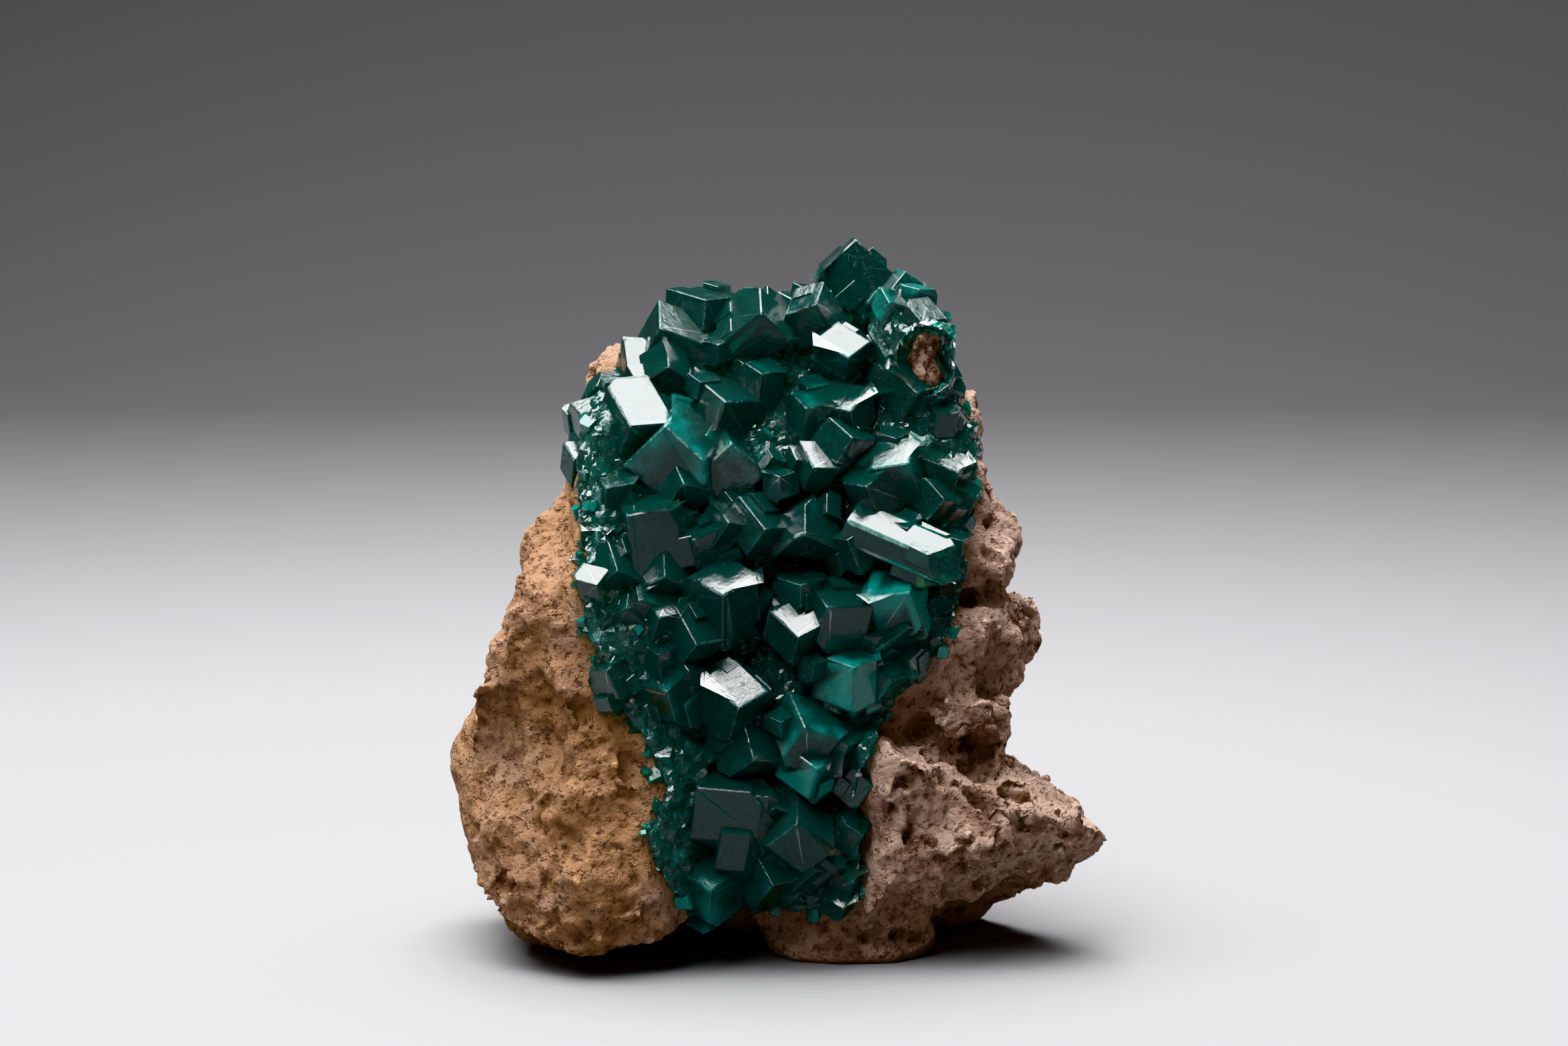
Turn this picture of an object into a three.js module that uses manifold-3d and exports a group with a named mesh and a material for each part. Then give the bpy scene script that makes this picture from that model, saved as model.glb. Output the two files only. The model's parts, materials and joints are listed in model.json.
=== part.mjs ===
// A dioptase specimen: a crust of emerald-green crystals on the rugged carbonate rock that it grew on.
// Millimetres, +Z up. The crystals face -Y, and the rock stands on its own feet at z = 0.
import * as THREE from "three";
import { mergeVertices } from "three/addons/utils/BufferGeometryUtils.js";
import { ImprovedNoise } from "three/addons/math/ImprovedNoise.js";
import Module from "manifold-3d";

const wasm = await Module();
wasm.setup();

// The point of the modelled floor that lies under the middle of the finished specimen.
const MIDDLE = { x: -0.7, y: 2.05 };

// Driving dimensions of the rock

// Waves that roughen a boulder: wavelength and depth of each.
const LUMPS = [
  { wavelength: 15, depth: 3.4 },
  { wavelength: 6.5, depth: 2.2 },
];

// Each boulder: its centre, half sizes, how square it is, its broken faces and how finely it is faceted.
// A broken face is a plane square to a direction, at a distance from the boulder's centre.
const BOULDERS = [
  {
    name: "core",
    at: [-1, 5, 32.5],
    half: [22, 17, 34],
    squareness: 2.8,
    breaks: [
      { facing: [0, -1, 0.22], distance: 15 },
      { facing: [0, -0.6, 1], distance: 30 },
      { facing: [0.7, -0.2, 1], distance: 32 },
      { facing: [-0.75, -0.2, 1], distance: 32 },
    ],
    detail: 5,
  },
  {
    name: "left buttress",
    at: [-19.5, -3, 24],
    half: [15.5, 19, 34],
    squareness: 4,
    breaks: [
      { facing: [-0.9, -0.05, 0.42], distance: 14 },
      { facing: [-0.74, 0, -0.67], distance: 21 },
      { facing: [-0.72, -0.72, 0.12], distance: 14.5 },
      { facing: [-0.5, -0.8, -0.33], distance: 22.5 },
      { facing: [-0.5, 0.85, 0.2], distance: 15 },
      { facing: [0.28, -0.95, 0.28], distance: 15.5 },
      { facing: [0.8, -0.58, 0.1], distance: 13.5 },
      { facing: [0.36, -0.1, -0.93], distance: 21.5 },
    ],
    detail: 5,
  },
  {
    name: "right ledge",
    at: [14, -4, 14],
    half: [18.5, 16, 15],
    squareness: 4,
    breaks: [
      { facing: [0.42, -0.1, 0.9], distance: 9 },
      { facing: [0.34, -0.42, -0.84], distance: 9.5 },
      { facing: [0.22, -1, -0.05], distance: 12.5 },
      { facing: [-0.75, -0.65, 0], distance: 11 },
      { facing: [0.6, 0.8, 0.1], distance: 14 },
    ],
    detail: 5,
  },
  {
    name: "back",
    at: [2, 13, 25],
    half: [23, 14, 28],
    squareness: 3.2,
    breaks: [
      { facing: [0.25, 1, 0.3], distance: 12 },
      { facing: [-0.35, 1, -0.15], distance: 12.5 },
      { facing: [0.8, 0.6, -0.15], distance: 17 },
      { facing: [-0.7, 0.5, 0.5], distance: 19 },
      { facing: [0.2, 0.75, -0.7], distance: 20 },
    ],
    detail: 4,
  },
  { name: "right foot", at: [6, -1, 5], half: [10.5, 12, 8], squareness: 3.5, breaks: [], detail: 2 },
  {
    name: "left shoulder",
    at: [-11.5, 9, 55.5],
    half: [11, 10, 11],
    squareness: 2.8,
    breaks: [
      { facing: [-0.3, 0.8, 0.5], distance: 8.5 },
      { facing: [0.3, 0.2, 1], distance: 9.5 },
    ],
    detail: 2,
  },
  {
    name: "right shoulder",
    at: [11, 9, 53],
    half: [10, 9, 9.5],
    squareness: 2.8,
    breaks: [
      { facing: [0.5, 0.8, 0.3], distance: 8 },
      { facing: [-0.1, 0.4, 1], distance: 8.5 },
    ],
    detail: 2,
  },
  { name: "stalk", at: [12.8, 0, 63.5], half: [4, 6.5, 6], squareness: 2.6, breaks: [], detail: 2 },
  { name: "bare patch", at: [15, -5, 63.5], half: [2.4, 3.4, 3.2], squareness: 2.6, breaks: [], detail: 2, bare: true },
  { name: "top knob", at: [20.5, 1, 46.5], half: [3.8, 4.5, 4.6], squareness: 2.8, breaks: [], detail: 2 },
  { name: "upper knob", at: [20, 0, 41.5], half: [5, 6, 4.5], squareness: 2.8, breaks: [], detail: 2 },
  { name: "outer lump", at: [21.2, 1, 32], half: [6, 7, 6.5], squareness: 3, breaks: [], detail: 3 },
  { name: "front lump", at: [18.5, -5, 32.5], half: [5, 5.5, 4.6], squareness: 2.8, breaks: [], detail: 2 },
  { name: "lower lump", at: [18, -4, 25], half: [6.5, 6, 5.5], squareness: 2.6, breaks: [], detail: 2 },
];

// Pits in the rock's front: where each opens and its radius.
const PITS = [
  { x: 21, z: 22, radius: 2.2 },
  { x: 17, z: 20.5, radius: 1.6 },
  { x: 25, z: 18.5, radius: 1.8 },
  { x: 14.5, z: 24, radius: 1.5 },
  { x: 22.5, z: 28, radius: 1.8 },
  { x: 19.5, z: 37.5, radius: 1.4 },
  { x: -21, z: 28, radius: 1.6 },
  { x: -15.5, z: 22, radius: 1.7 },
  { x: -29.5, z: 9, radius: 1.5 },
];

// Driving dimensions of the crust

const ROCK_GAP = 0.4; // between the rock and the crust's underside
const CRUST_THICKNESS = 1.4; // of the druse that the crystals stand in
const CRUST_FRONT = 40; // how far in front of the middle the outline is swept
const CRUST_BACK = 9; // how far behind the middle the druse reaches over the top
const LOWEST_CRYSTAL = 2; // the crust stays this far above the floor

// The druse's outline seen from the front: x and z of points on a smooth closed curve.
const OUTLINE = [
  [-9, 67], [-16, 64], [-21, 57], [-21.5, 50], [-20.5, 43], [-20.5, 36], [-17.5, 29], [-14, 24],
  [-12.5, 19], [-14, 14], [-9.5, 7], [-2, 6], [5, 6.5], [8, 11], [7.5, 19], [10.5, 26],
  [15.5, 32], [18.5, 38], [19.5, 46], [20.5, 54], [18, 60], [17.5, 67], [8, 69], [0, 67.5],
];

// A dioptase crystal is a six-sided prism whose tip is three rhombohedron faces, each at this angle to the axis.
const RHOMB_TILT = THREE.MathUtils.degToRad(51);
// How far each face stands from its even place, as a share of the half width: six prism and three tip faces.
const PRISM_SPREAD = [1, 0.86, 1.1, 0.94, 1.06, 0.9];
const RHOMB_SPREAD = [0, 0.12, -0.08];
const STUBBY = 1.5; // length of a common crystal in widths
const SLENDER = 2.6;

// The crystals that stand out, each by its tip, its width, how far its axis leans right and up for each unit
// towards the viewer, and its turn about the axis in degrees, which is 0 when one tip face is uppermost.
const CRYSTALS = [
  // the top edge
  { tip: [8, 1, 75], width: 8.4, lean: [0.05, 1.6], turn: 60 },
  { tip: [-3, -6.5, 68], width: 8.4, lean: [0.05, 0.45], turn: 60 },
  { tip: [-8.5, -2, 69.5], width: 6.6, lean: [0, 0.6], turn: 5 },
  { tip: [-12.5, -5, 66], width: 9, lean: [-0.3, 0.5], turn: 40 },
  { tip: [-12.5, -7.5, 62.5], width: 6, lean: [0.1, 0.2], turn: 60 },
  { tip: [-16.5, -5, 62.5], width: 6, lean: [-0.5, 0.1], turn: 30 },
  { tip: [-18.5, -4, 60.5], width: 4.8, lean: [-0.4, 0.5], turn: 10 },
  { tip: [-2.5, -8, 61.5], width: 5.4, lean: [0, 0.3], turn: 10 },
  { tip: [1.5, -2.5, 69.2], width: 6, lean: [0, 0.7], turn: 20 },
  { tip: [3.5, -5.5, 68.5], width: 6.6, lean: [0.1, 0.4], turn: 80 },
  { tip: [6.5, -7.5, 63], width: 6.6, lean: [0.1, -0.05], turn: 0 },
  // the stalk at the right of the top
  { tip: [11, -6, 69.5], width: 4.6, lean: [-0.2, 0.5], turn: 30 },
  { tip: [14.5, -5, 70.5], width: 4.4, lean: [0.3, 0.7], turn: 10 },
  { tip: [12.5, -1, 72], width: 4.6, lean: [0.2, 1.5], turn: 50 },
  { tip: [10.5, -6.5, 64], width: 6, lean: [-0.3, 0.1], turn: 15 },
  { tip: [17.2, -3, 66.5], width: 4.6, lean: [0.6, 0.3], turn: 0 },
  { tip: [13.5, -9, 59.5], width: 7.2, lean: [0.2, 0], turn: 20 },
  { tip: [17.5, -6, 60.5], width: 6, lean: [0.5, 0], turn: 45 },
  { tip: [20, -4, 55.5], width: 6.6, lean: [0.9, 0.3], turn: 20 },
  // the upper half
  { tip: [-21.5, -7, 57], width: 6.6, lean: [-0.5, 0.3], turn: 0 },
  { tip: [-16, -13, 57.5], width: 8.4, lean: [-0.1, 0.1], turn: 25 },
  { tip: [-21.5, -10, 53], width: 6, lean: [-0.35, 0.3], turn: 15 },
  { tip: [-13, -14, 57], width: 10.2, lean: [-0.3, 0.9], turn: 60 },
  { tip: [-5.3, -12, 55.5], width: 9, lean: [0.2, 0.9], turn: 60 },
  { tip: [-5.5, -10, 59], width: 7.8, lean: [0.1, 0.35], turn: 20 },
  { tip: [2, -10, 58], width: 7.2, lean: [-0.3, 0.3], turn: 10 },
  { tip: [6.5, -10.5, 58.5], width: 7.2, lean: [0.15, 0.2], turn: -15 },
  { tip: [7.5, -12.5, 55.5], width: 6, lean: [0.4, 0.35], turn: 30 },
  { tip: [-0.5, -14, 51.5], width: 3.8, lean: [0, 0.4], turn: 0 },
  { tip: [3, -13.5, 53], width: 5.4, lean: [-0.1, 0.1], turn: 30 },
  { tip: [9, -14.5, 51], width: 7.2, lean: [-0.2, 0.2], turn: -20 },
  { tip: [13, -13.5, 52.5], width: 7.8, lean: [0.35, 0.35], turn: -30 },
  { tip: [18, -10, 52], width: 6, lean: [0.6, 0.1], turn: 0 },
  { tip: [17, -12.5, 49], width: 5.4, lean: [0.5, 0.2], turn: 35 },
  { tip: [20, -9, 48.5], width: 5.4, lean: [0.8, 0.1], turn: 10 },
  { tip: [-18.5, -14.5, 51], width: 5.4, lean: [-0.3, 0.3], turn: 10 },
  { tip: [-10, -15.5, 51], width: 5, lean: [0.1, 0.2], turn: 40 },
  // the middle
  { tip: [-16.5, -17, 47.5], width: 9, lean: [-0.7, 0.5], turn: 0 },
  { tip: [-21, -15, 46.5], width: 4.8, lean: [-0.6, 0.2], turn: 20 },
  { tip: [-9, -16.5, 45.5], width: 6, lean: [-0.3, 0.2], turn: 0 },
  { tip: [-6, -16, 47], width: 5.4, lean: [0.2, 0.3], turn: 35 },
  { tip: [-2, -16, 47], width: 6.6, lean: [0.3, 0.1], turn: 30 },
  { tip: [2.5, -16, 45.5], width: 7.2, lean: [0, -0.05], turn: 60 },
  { tip: [6.5, -15.5, 45], width: 5, lean: [-0.3, 0.35], turn: -20 },
  { tip: [18.5, -15.5, 41.8], width: 5, lean: [3.5, -1.4], turn: 55, length: SLENDER },
  { tip: [13, -15, 46.5], width: 4, lean: [0.2, 0.2], turn: 0 },
  { tip: [-20.5, -16.5, 42.5], width: 4, lean: [-0.2, 0.35], turn: 0 },
  { tip: [-17, -18.5, 43], width: 5.4, lean: [0.2, 0.2], turn: 50 },
  { tip: [-12, -18, 41.5], width: 5.4, lean: [0.1, 0], turn: 60 },
  { tip: [-6.5, -19.5, 39.5], width: 9, lean: [0.05, 0.15], turn: 0 },
  { tip: [1.5, -16, 41], width: 4.8, lean: [0, 0.5], turn: 0 },
  { tip: [5, -17.5, 38.5], width: 7.8, lean: [-0.2, 0.35], turn: 20 },
  { tip: [13, -17, 39.5], width: 7.2, lean: [0.35, 0.25], turn: -30 },
  { tip: [-18.5, -18.5, 38.5], width: 5, lean: [-0.1, 0.3], turn: 15 },
  { tip: [-16, -19, 38.5], width: 4.4, lean: [0.1, 0.3], turn: 70 },
  { tip: [-13, -19, 37.5], width: 4.8, lean: [0, 0.1], turn: 20 },
  { tip: [-9, -19.5, 35.5], width: 6.6, lean: [0.1, -0.1], turn: 30 },
  { tip: [2, -18, 35.5], width: 7.2, lean: [0.05, -0.05], turn: 10 },
  { tip: [12.5, -15.5, 36], width: 7.2, lean: [0.4, 0], turn: 45 },
  // the lower half
  { tip: [-17.5, -19, 33.5], width: 6, lean: [-0.2, 0.3], turn: 75 },
  { tip: [-12.5, -19, 34], width: 4.8, lean: [0, 0.35], turn: 0 },
  { tip: [7, -18, 32], width: 6.6, lean: [0.1, 0.4], turn: 0 },
  { tip: [11, -15.5, 31], width: 6.6, lean: [0.4, 0], turn: 20 },
  { tip: [-11.5, -20, 30.5], width: 7.2, lean: [0, 0.2], turn: -15 },
  { tip: [-5, -20, 28], width: 7.8, lean: [0.1, -0.1], turn: 10 },
  { tip: [2.2, -19.5, 27], width: 7.8, lean: [0, 0.4], turn: 40 },
  { tip: [7, -17.5, 24], width: 5.4, lean: [0.4, 0.1], turn: 15 },
  { tip: [-15, -17.5, 26.5], width: 4.8, lean: [-0.4, 0.1], turn: 0 },
  { tip: [-3, -19, 23.5], width: 7.8, lean: [0.1, -0.1], turn: 45 },
  { tip: [4, -19, 22], width: 7.2, lean: [0.25, 0.1], turn: 10 },
  { tip: [9, -16.5, 19.5], width: 4.6, lean: [0.6, 0.1], turn: 25 },
  // the foot of the crust
  { tip: [-11.5, -18, 20.5], width: 5.4, lean: [-0.3, 0.1], turn: 20 },
  { tip: [-8.5, -19.5, 20], width: 8.4, lean: [-0.75, 0.75], turn: 15 },
  { tip: [-1.5, -18.5, 17.5], width: 4, lean: [0, 0.2], turn: 30 },
  { tip: [1.6, -20, 17], width: 8.4, lean: [0, 0.5], turn: 60 },
  { tip: [-16, -18.5, 15.5], width: 4.8, lean: [-0.8, 0.2], turn: 20 },
  { tip: [-12.5, -18.5, 16], width: 6, lean: [-0.4, 0.3], turn: 0 },
  { tip: [-12, -17.5, 11.5], width: 5, lean: [-0.3, 0.1], turn: 35 },
  { tip: [8.5, -16.5, 14.5], width: 4.6, lean: [0.6, 0], turn: 10 },
  { tip: [3, -18.5, 11], width: 5.2, lean: [0.2, 0], turn: 40 },
  { tip: [7, -17, 10], width: 5.2, lean: [0.4, 0], turn: 0 },
  { tip: [-7, -20, 9.5], width: 7.8, lean: [0.1, 0.1], turn: 0 },
  { tip: [-1.5, -19, 9.5], width: 6, lean: [0.1, -0.1], turn: 30 },
];

// Small crystals between the large ones.
const BETWEEN = { count: 36, least: 3.8, most: 5.4, reach: 2 };

const perlin = new ImprovedNoise();

// The fractional part of a multiple, which spreads numbers evenly between 0 and 1.
const spread = (index, step) => (index * step) % 1;

// How far the broken surface stands out of a smooth boulder at a point.
function roughness(point) {
  return LUMPS.reduce(
    (sum, { wavelength, depth }) =>
      sum + depth * perlin.noise(point.x / wavelength, point.y / wavelength, point.z / wavelength),
    0,
  );
}

// A closed geometry as a solid.
function solidFrom(geometry) {
  const bare = new THREE.BufferGeometry().setAttribute("position", geometry.getAttribute("position"));
  bare.setIndex(geometry.index);
  const merged = mergeVertices(bare, 1e-4);
  return new wasm.Manifold(
    new wasm.Mesh({
      numProp: 3,
      vertProperties: merged.getAttribute("position").array,
      triVerts: new Uint32Array(merged.index.array),
    }),
  );
}

// A solid as a geometry with flat faces.
function geometryFrom(solid) {
  const { vertProperties, triVerts } = solid.getMesh();
  const shared = new THREE.BufferGeometry()
    .setAttribute("position", new THREE.BufferAttribute(vertProperties, 3))
    .setIndex(new THREE.BufferAttribute(triVerts, 1));
  const flat = shared.toNonIndexed();
  flat.computeVertexNormals();
  return flat;
}

// One boulder, grown outwards by a distance.
function boulder({ at, half, squareness, breaks, detail }, grow) {
  const geometry = new THREE.IcosahedronGeometry(1, detail);
  const centre = new THREE.Vector3(...at);
  const planes = breaks.map(({ facing, distance }) => ({
    normal: new THREE.Vector3(...facing).normalize(),
    distance,
  }));
  const position = geometry.getAttribute("position");
  const way = new THREE.Vector3();
  const point = new THREE.Vector3();
  for (let i = 0; i < position.count; i += 1) {
    way.fromBufferAttribute(position, i).normalize();
    const powers = ["x", "y", "z"].map((axis, k) => Math.abs(way[axis] / half[k]) ** squareness);
    let reach = (powers[0] + powers[1] + powers[2]) ** (-1 / squareness);
    for (const { normal, distance } of planes) {
      const slant = normal.dot(way);
      if (slant > 0) reach = Math.min(reach, distance / slant);
    }
    point.copy(way).multiplyScalar(reach).add(centre);
    point.addScaledVector(way, roughness(point) + grow);
    position.setXYZ(i, point.x, point.y, point.z);
  }
  return solidFrom(geometry);
}

// The boulders joined, grown outwards by a distance, and cut off flat where the feet stand.
function rock(grow, shapes = BOULDERS) {
  const joined = wasm.Manifold.union(shapes.map((shape) => boulder(shape, grow)));
  return joined.trimByPlane([0, 0, 1], 0);
}

// The rock's surface seen from the front at x and z, or null past its edge.
const surface = new THREE.Mesh(geometryFrom(rock(0)), new THREE.MeshBasicMaterial());
const ray = new THREE.Raycaster();
function onFront(x, z) {
  ray.set(new THREE.Vector3(x, -CRUST_FRONT, z), new THREE.Vector3(0, 1, 0));
  const [hit] = ray.intersectObject(surface);
  return hit ? hit.point : null;
}

// The rock with its pits.
function pittedRock() {
  const pits = PITS.map(({ x, z, radius }) => {
    const { y } = onFront(x, z);
    return solidFrom(new THREE.OctahedronGeometry(radius, 1).translate(x, y, z));
  });
  return rock(0).subtract(wasm.Manifold.union(pits));
}

// One crystal: a block cut down to its prism and tip faces.
function crystal({ tip, width, lean, turn, length = STUBBY }, index) {
  const half = width / 2;
  const point = new THREE.Vector3(...tip);
  const axis = new THREE.Vector3(lean[0], -1, lean[1]).normalize();
  const up = new THREE.Vector3(0, 0, 1).projectOnPlane(axis).normalize();
  const first = up.applyAxisAngle(axis, -THREE.MathUtils.degToRad(turn));
  const second = new THREE.Vector3().crossVectors(axis, first);
  const frame = new THREE.Matrix4().makeBasis(first, second, axis).setPosition(point);
  const block = new THREE.BoxGeometry(3 * width, 3 * width, length * width);
  let solid = solidFrom(block.translate(0, 0, (-length * width) / 2).applyMatrix4(frame));
  const cut = (normal, distance) => {
    const inward = normal.clone().negate();
    solid = solid.trimByPlane(inward.toArray(), inward.dot(point) - distance);
  };
  const around = (angle) =>
    first.clone().multiplyScalar(Math.cos(angle)).addScaledVector(second, Math.sin(angle));
  for (let k = 0; k < 6; k += 1) {
    cut(around(((2 * k + 1) * Math.PI) / 6), half * PRISM_SPREAD[(k + index) % 6]);
  }
  for (let k = 0; k < 3; k += 1) {
    const tilted = around((2 * k * Math.PI) / 3).multiplyScalar(Math.sin(RHOMB_TILT));
    cut(tilted.addScaledVector(axis, Math.cos(RHOMB_TILT)), half * RHOMB_SPREAD[(k + index) % 3]);
  }
  return solid;
}

const outline = new THREE.CatmullRomCurve3(
  OUTLINE.map(([x, z]) => new THREE.Vector3(x, z, 0)),
  true,
);

// The druse's outline swept from the front to behind the top edge.
function outlineSweep() {
  const shape = new THREE.Shape(outline.getSpacedPoints(72).map(({ x, y }) => new THREE.Vector2(x, y)));
  const depth = CRUST_FRONT + CRUST_BACK;
  const swept = new THREE.ExtrudeGeometry(shape, { depth, bevelEnabled: false });
  return solidFrom(swept.rotateX(Math.PI / 2).translate(0, CRUST_BACK, 0));
}

// A small crystal that stands on the rock at x and z, or null past the rock's edge.
function smallCrystal(index, x, z, lean) {
  const foot = onFront(x, z);
  if (!foot) return null;
  const width = BETWEEN.least + (BETWEEN.most - BETWEEN.least) * spread(index, 0.29);
  const axis = new THREE.Vector3(lean[0], -1, lean[1]).normalize();
  const tip = foot.addScaledVector(axis, CRUST_THICKNESS + BETWEEN.reach).toArray();
  return { tip, width, lean, turn: 360 * spread(index, 0.47) };
}

// Whether the druse covers x and z.
const rim = outline.getSpacedPoints(72);
function insideRim(x, z) {
  let inside = false;
  for (let i = 1; i < rim.length; i += 1) {
    const [a, b] = [rim[i - 1], rim[i]];
    const crosses = a.y > z !== b.y > z && x < a.x + ((b.x - a.x) * (z - a.y)) / (b.y - a.y);
    if (crosses) inside = !inside;
  }
  return inside;
}

// Small crystals spread evenly over the druse.
function crystalsBetween() {
  const corners = new THREE.Box2().setFromPoints(rim);
  const size = corners.getSize(new THREE.Vector2());
  return Array.from({ length: BETWEEN.count }, (_, i) => {
    const x = corners.min.x + size.x * spread(i + 1, 0.7548777);
    const z = corners.min.y + size.y * spread(i + 1, 0.569840);
    const lean = [spread(i, 0.382) - 0.5, 0.8 * spread(i, 0.618) - 0.2];
    return insideRim(x, z) ? smallCrystal(i, x, z, lean) : null;
  }).filter(Boolean);
}

// The druse and all its crystals as one solid that stops short of the rock.
function crust() {
  const sweep = outlineSweep();
  const covered = BOULDERS.filter(({ bare }) => !bare);
  const druse = rock(CRUST_THICKNESS, covered).intersect(sweep);
  const standing = [...CRYSTALS, ...crystalsBetween()].map(crystal);
  const joined = wasm.Manifold.union([druse, ...standing]);
  const freed = joined.subtract(rock(ROCK_GAP)).trimByPlane([0, 0, 1], LOWEST_CRYSTAL);
  return freed.decompose().sort((a, b) => b.volume() - a.volume())[0];
}

// A named mesh of a solid in its own colour.
function piece(name, solid, color, roughnessValue) {
  const material = new THREE.MeshStandardMaterial({ color, roughness: roughnessValue, metalness: 0 });
  const mesh = new THREE.Mesh(geometryFrom(solid), material);
  mesh.name = name;
  return mesh;
}

const specimen = new THREE.Group();
specimen.add(piece("matrix_rock", pittedRock(), 0xb08a70, 0.92));
specimen.add(piece("dioptase_crust", crust(), 0x0a4a3c, 0.12));
specimen.position.set(-MIDDLE.x, -MIDDLE.y, 0);
export default specimen;
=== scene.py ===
"""Dioptase specimen: weathers the rock, grows the crystals on it and sets it on a studio stage."""

import json
import math
from typing import NamedTuple

import bpy
from bpy.props import FloatProperty, FloatVectorProperty, IntProperty, PointerProperty
from mathutils import Matrix, Vector
from mathutils.bvhtree import BVHTree

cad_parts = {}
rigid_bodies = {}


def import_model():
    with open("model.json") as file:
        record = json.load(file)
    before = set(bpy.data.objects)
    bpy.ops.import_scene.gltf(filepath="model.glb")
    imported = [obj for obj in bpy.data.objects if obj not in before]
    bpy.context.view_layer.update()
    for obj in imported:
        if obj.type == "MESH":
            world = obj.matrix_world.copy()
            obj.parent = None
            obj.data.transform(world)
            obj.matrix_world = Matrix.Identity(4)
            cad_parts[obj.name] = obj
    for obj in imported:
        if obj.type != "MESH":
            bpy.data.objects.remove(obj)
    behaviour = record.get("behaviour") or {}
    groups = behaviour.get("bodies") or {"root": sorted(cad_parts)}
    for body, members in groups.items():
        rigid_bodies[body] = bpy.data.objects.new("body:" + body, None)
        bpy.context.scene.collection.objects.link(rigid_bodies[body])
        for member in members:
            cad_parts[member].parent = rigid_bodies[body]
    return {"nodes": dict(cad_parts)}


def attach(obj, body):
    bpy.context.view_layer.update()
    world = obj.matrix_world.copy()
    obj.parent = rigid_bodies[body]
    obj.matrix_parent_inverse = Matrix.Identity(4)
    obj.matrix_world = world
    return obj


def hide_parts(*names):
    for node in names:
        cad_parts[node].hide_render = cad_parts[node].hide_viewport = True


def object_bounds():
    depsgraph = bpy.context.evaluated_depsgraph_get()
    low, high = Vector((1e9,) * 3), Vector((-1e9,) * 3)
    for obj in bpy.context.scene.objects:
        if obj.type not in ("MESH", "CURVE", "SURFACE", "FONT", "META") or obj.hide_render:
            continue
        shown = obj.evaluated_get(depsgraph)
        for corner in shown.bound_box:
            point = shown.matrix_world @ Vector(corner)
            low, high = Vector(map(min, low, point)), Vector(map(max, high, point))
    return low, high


bl_info = {
    "name": "Dioptase Specimen",
    "version": (1, 0, 0),
    "blender": (4, 5, 0),
    "location": "View3D > Sidebar > Specimen",
    "description": "Grows a crust of dioptase crystals on a weathered carbonate rock",
    "category": "Object",
}

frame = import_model()
cad_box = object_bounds()
rock_node = frame["nodes"]["matrix_rock"]
crust_node = frame["nodes"]["dioptase_crust"]

MM = 0.001
FRONT = -60 * MM  # rays that look for the rock's front start here
# The modelled floor point, in millimetres, that lies under the middle of the specimen.
MIDDLE = Vector((-0.7, 2.05, 0))

# The druse's outline seen from the front: x and z in millimetres of points on a smooth closed curve.
OUTLINE = [
    (-9, 67), (-16, 64), (-21, 57), (-21.5, 50), (-20.5, 43), (-20.5, 36), (-17.5, 29), (-14, 24),
    (-12.5, 19), (-14, 14), (-9.5, 7), (-2, 6), (5, 6.5), (8, 11), (7.5, 19), (10.5, 26),
    (15.5, 32), (18.5, 38), (19.5, 46), (20.5, 54), (18, 60), (17.5, 67), (8, 69), (0, 67.5),
]

# The patch of rock that stays bare at the upper right: its middle and half sizes in millimetres.
BARE_PATCH = ((15, -7, 63.5), (3, 6.5, 3.6))

# A crystal is a six-sided prism whose tip is three rhombohedron faces, each at this angle to the axis.
RHOMB_TILT = math.radians(51)
# How far each face stands from its even place, as a share of the half width.
PRISM_SPREAD = (1, 0.86, 1.1, 0.94, 1.06, 0.9)
RHOMB_SPREAD = (0, 0.12, -0.08)
STUBBY = 1.5  # length of a common crystal in widths
SLENDER = 2.6
REFRACTION = 1.67  # the index of dioptase


class Crystal(NamedTuple):
    """A crystal: tip and width in millimetres, lean for each unit forward and turn in degrees."""

    x: float
    y: float
    z: float
    width: float
    right: float
    up: float
    turn: float
    tone: float = 0.25
    length: float = STUBBY


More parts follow.
